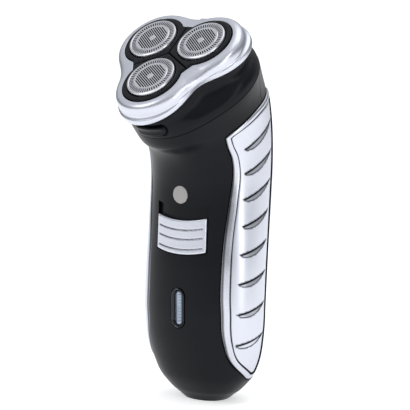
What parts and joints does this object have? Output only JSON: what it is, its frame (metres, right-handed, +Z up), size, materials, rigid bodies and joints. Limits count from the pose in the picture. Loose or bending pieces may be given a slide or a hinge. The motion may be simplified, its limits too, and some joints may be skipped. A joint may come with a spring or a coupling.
{
  "type": "electric shaver",
  "caption": "Cordless rotary shaver with a leaning head of round cutters, silver side panels, a sliding switch and a pop-out trimmer",
  "frame": {"origin": "under the middle of the shaver's box, in the plane that the bottom flat rests on", "axes": "+Z up the handle to the shaving head, -Y out of the front where the switch is, +X to the right as seen facing the back"},
  "size_m": [0.0596, 0.0712, 0.1568],
  "materials": {
    "black_satin": "satin black plastic",
    "silver_satin": "satin silver plating on plastic",
    "bright_trim": "polished chrome plating",
    "cutter_nickel": "fine-ground nickel steel",
    "steel": "plain steel",
    "brass": "machined brass",
    "white_nylon": "moulded nylon",
    "grey_badge": "plain grey badge disc",
    "clear_lens": "translucent ribbed lens",
    "board_green": "solder-masked laminate",
    "cell_wrap": "shrink-wrapped cell",
    "grey_plastic": "moulded grey plastic"
  },
  "bodies": {
    "handle": {"front_housing": "black_satin", "rear_housing": "black_satin", "right_side_panel": "silver_satin", "left_side_panel": "silver_satin", "right_panel_trim": "bright_trim", "left_panel_trim": "bright_trim", "switch_contact_block": "grey_plastic", "indicator_bezel": "bright_trim", "indicator_lens": "clear_lens", "indicator_led": "clear_lens", "badge_disc": "grey_badge", "power_inlet": "black_satin", "inlet_pin_left": "cutter_nickel", "inlet_pin_right": "cutter_nickel", "battery_left": "cell_wrap", "battery_right": "cell_wrap", "battery_holder": "grey_plastic", "circuit_board": "board_green", "housing_screw_lower": "steel", "housing_screw_upper": "steel", "trimmer_pin": "steel", "motor_can": "steel", "motor_end_cap": "black_satin", "gear_plate": "grey_plastic", "hair_chamber": "black_satin", "head_hinge_pin": "steel"},
    "shaving_unit": {"head_frame": "silver_satin", "retaining_plate": "grey_plastic"},
    "lock_wheel": {"lock_wheel": "black_satin"},
    "motor_rotor": {"motor_rotor": "steel", "motor_pinion": "brass"},
    "switch_slider": {"switch_slider": "silver_satin"},
    "release_button": {"release_button": "black_satin"},
    "trimmer_arm": {"trimmer_arm": "black_satin", "trimmer_comb": "steel"},
    "trimmer_blade": {"trimmer_blade": "steel"},
    "trimmer_slider": {"trimmer_slider": "black_satin"},
    "head_front": {"head_holder_front": "black_satin", "outer_cutter_front": "cutter_nickel"},
    "cutter_front": {"inner_cutter_front": "steel"},
    "gear_front": {"drive_gear_front": "white_nylon", "drive_spindle_front": "steel"},
    "head_right": {"head_holder_right": "black_satin", "outer_cutter_right": "cutter_nickel"},
    "cutter_right": {"inner_cutter_right": "steel"},
    "gear_right": {"drive_gear_right": "white_nylon", "drive_spindle_right": "steel"},
    "head_left": {"head_holder_left": "black_satin", "outer_cutter_left": "cutter_nickel"},
    "cutter_left": {"inner_cutter_left": "steel"},
    "gear_left": {"drive_gear_left": "white_nylon", "drive_spindle_left": "steel"}
  },
  "joints": [
    {"name": "head_opening", "type": "hinge", "parent": "handle", "child": "shaving_unit", "pos_m": [0, 0.0122, 0.15239], "axis": [-1, 0, 0], "range_deg": [0, 100]},
    {"name": "lock_turn", "type": "hinge", "parent": "shaving_unit", "child": "lock_wheel", "pos_m": [0, -0.00253, 0.13011], "axis": [0, -0.6428, 0.766], "range_deg": [0, 60]},
    {"name": "motor_spin", "type": "hinge", "parent": "handle", "child": "motor_rotor", "pos_m": [0, -0.0006, 0.12781], "axis": [0, -0.6428, 0.766], "continuous": true},
    {"name": "head_tilt_front", "type": "hinge", "parent": "shaving_unit", "child": "head_front", "pos_m": [0, -0.03324, 0.12392], "axis": [-1, 0, 0], "range_deg": [0, 4.5], "stiffness_Nm_per_rad": 0.5, "springref_deg": -5.73},
    {"name": "cutter_spin_front", "type": "hinge", "parent": "head_front", "child": "cutter_front", "pos_m": [0, -0.02297, 0.13254], "axis": [0, -0.6428, 0.766], "continuous": true},
    {"name": "gear_spin_front", "type": "hinge", "parent": "handle", "child": "gear_front", "pos_m": [0, -0.0114, 0.11875], "axis": [0, -0.6428, 0.766], "continuous": true},
    {"name": "head_tilt_right", "type": "hinge", "parent": "shaving_unit", "child": "head_right", "pos_m": [0.02382, -0.00164, 0.15044], "axis": [0.5, -0.6634, -0.5567], "range_deg": [0, 4.5], "stiffness_Nm_per_rad": 0.5, "springref_deg": -5.73},
    {"name": "cutter_spin_right", "type": "hinge", "parent": "head_right", "child": "cutter_right", "pos_m": [0.01221, -0.00677, 0.14613], "axis": [0, -0.6428, 0.766], "continuous": true},
    {"name": "gear_spin_right", "type": "hinge", "parent": "handle", "child": "gear_right", "pos_m": [0.01221, 0.0048, 0.13234], "axis": [0, -0.6428, 0.766], "continuous": true},
    {"name": "head_tilt_left", "type": "hinge", "parent": "shaving_unit", "child": "head_left", "pos_m": [-0.02382, -0.00164, 0.15044], "axis": [0.5, 0.6634, 0.5567], "range_deg": [0, 4.5], "stiffness_Nm_per_rad": 0.5, "springref_deg": -5.73},
    {"name": "cutter_spin_left", "type": "hinge", "parent": "head_left", "child": "cutter_left", "pos_m": [-0.01221, -0.00677, 0.14613], "axis": [0, -0.6428, 0.766], "continuous": true},
    {"name": "gear_spin_left", "type": "hinge", "parent": "handle", "child": "gear_left", "pos_m": [-0.01221, 0.0048, 0.13234], "axis": [0, -0.6428, 0.766], "continuous": true},
    {"name": "switch_slide", "type": "slide", "parent": "handle", "child": "switch_slider", "axis": [0, 0.045, 0.999], "range_m": [0, 0.0045]},
    {"name": "release_press", "type": "slide", "parent": "handle", "child": "release_button", "axis": [0, 0.766, 0.6428], "range_m": [0, 0.0014], "stiffness_N_per_m": 400},
    {"name": "trimmer_flip", "type": "hinge", "parent": "handle", "child": "trimmer_arm", "pos_m": [0, 0.0338, 0.1022], "axis": [-1, 0, 0], "range_deg": [0, 45]},
    {"name": "trimmer_cut", "type": "slide", "parent": "trimmer_arm", "child": "trimmer_blade", "axis": [1, 0, 0], "range_m": [-0.001, 0.001]},
    {"name": "trimmer_unlock", "type": "slide", "parent": "handle", "child": "trimmer_slider", "axis": [0, 0.0797, 0.9968], "range_m": [0, 0.004]}
  ],
  "couplings": [
    {"joint": "gear_spin_front", "follows": "motor_spin", "ratio": -0.5},
    {"joint": "cutter_spin_front", "follows": "motor_spin", "ratio": -0.5},
    {"joint": "gear_spin_right", "follows": "motor_spin", "ratio": -0.5},
    {"joint": "cutter_spin_right", "follows": "motor_spin", "ratio": -0.5},
    {"joint": "gear_spin_left", "follows": "motor_spin", "ratio": -0.5},
    {"joint": "cutter_spin_left", "follows": "motor_spin", "ratio": -0.5}
  ]
}
